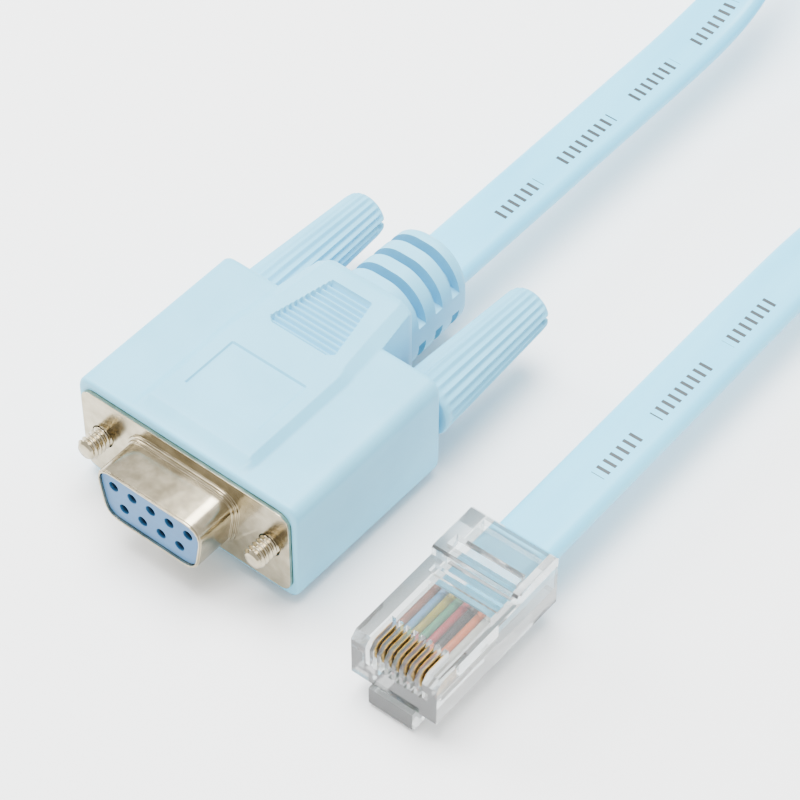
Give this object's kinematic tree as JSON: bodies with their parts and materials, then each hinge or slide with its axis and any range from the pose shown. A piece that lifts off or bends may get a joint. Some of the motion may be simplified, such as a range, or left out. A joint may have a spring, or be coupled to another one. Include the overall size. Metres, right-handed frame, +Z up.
{
  "type": "rj45 console cable",
  "caption": "Flat serial console cable with a moulded D connector with thumbscrews at one end and a clear modular plug at the other.",
  "frame": {"origin": "on the ground under the middle of the D connector end, cable and plug left out", "axes": "+X across the D connector, +Y from its mating face towards the cable, +Z up, wide row of contacts up"},
  "size_m": [0.0771, 0.2285, 0.0168],
  "materials": {
    "hood_plastic": "pale blue moulded PVC, satin",
    "cable_jacket": "pale blue extruded PVC jacket, smooth",
    "nickel_plate": "nickel plated steel, bright drawn",
    "insulator": "blue moulded thermoplastic",
    "contact_gold": "thin gold plate",
    "clear_plastic": "clear polycarbonate, smooth moulded",
    "tie_strap": "white moulded nylon strap",
    "wire_1": "brown wire insulation",
    "wire_2": "blue wire insulation",
    "wire_3": "yellow wire insulation",
    "wire_4": "green wire insulation",
    "wire_5": "red wire insulation",
    "wire_6": "black wire insulation",
    "wire_7": "orange wire insulation",
    "wire_8": "white wire insulation"
  },
  "bodies": {
    "cable": {"hood": "hood_plastic", "front_shell": "nickel_plate", "socket_insulator": "insulator", "socket_contact_1": "contact_gold", "socket_contact_2": "contact_gold", "socket_contact_3": "contact_gold", "socket_contact_4": "contact_gold", "socket_contact_5": "contact_gold", "socket_contact_6": "contact_gold", "socket_contact_7": "contact_gold", "socket_contact_8": "contact_gold", "socket_contact_9": "contact_gold", "cable_run_connector_side": "cable_jacket", "cable_coil": "cable_jacket", "coil_tie": "tie_strap", "cable_run_plug_side": "cable_jacket", "cable_jacket_end": "cable_jacket", "plug_housing": "clear_plastic", "plug_contact_1": "contact_gold", "plug_contact_2": "contact_gold", "plug_contact_3": "contact_gold", "plug_contact_4": "contact_gold", "plug_contact_5": "contact_gold", "plug_contact_6": "contact_gold", "plug_contact_7": "contact_gold", "plug_contact_8": "contact_gold", "wire_1": "wire_1", "wire_2": "wire_2", "wire_3": "wire_3", "wire_4": "wire_4", "wire_5": "wire_5", "wire_6": "wire_6", "wire_7": "wire_7", "wire_8": "wire_8"},
    "thumbscrew_left": {"thumbscrew_screw_left": "nickel_plate", "thumbscrew_knob_left": "hood_plastic"},
    "thumbscrew_right": {"thumbscrew_screw_right": "nickel_plate", "thumbscrew_knob_right": "hood_plastic"},
    "latch": {"plug_latch": "clear_plastic"}
  },
  "joints": [
    {"name": "thumbscrew_left_turn", "type": "hinge", "parent": "cable", "child": "thumbscrew_left", "pos_m": [-0.0125, 0, 0.0084], "axis": [0, 1, 0], "continuous": true},
    {"name": "thumbscrew_right_turn", "type": "hinge", "parent": "cable", "child": "thumbscrew_right", "pos_m": [0.0125, 0, 0.0084], "axis": [0, 1, 0], "continuous": true},
    {"name": "latch_press", "type": "hinge", "parent": "cable", "child": "latch", "pos_m": [0.03388, -0.02395, 0.0014], "axis": [0.9998, 0.0175, 0], "range_deg": [0, 5], "stiffness_Nm_per_rad": 0.5}
  ]
}
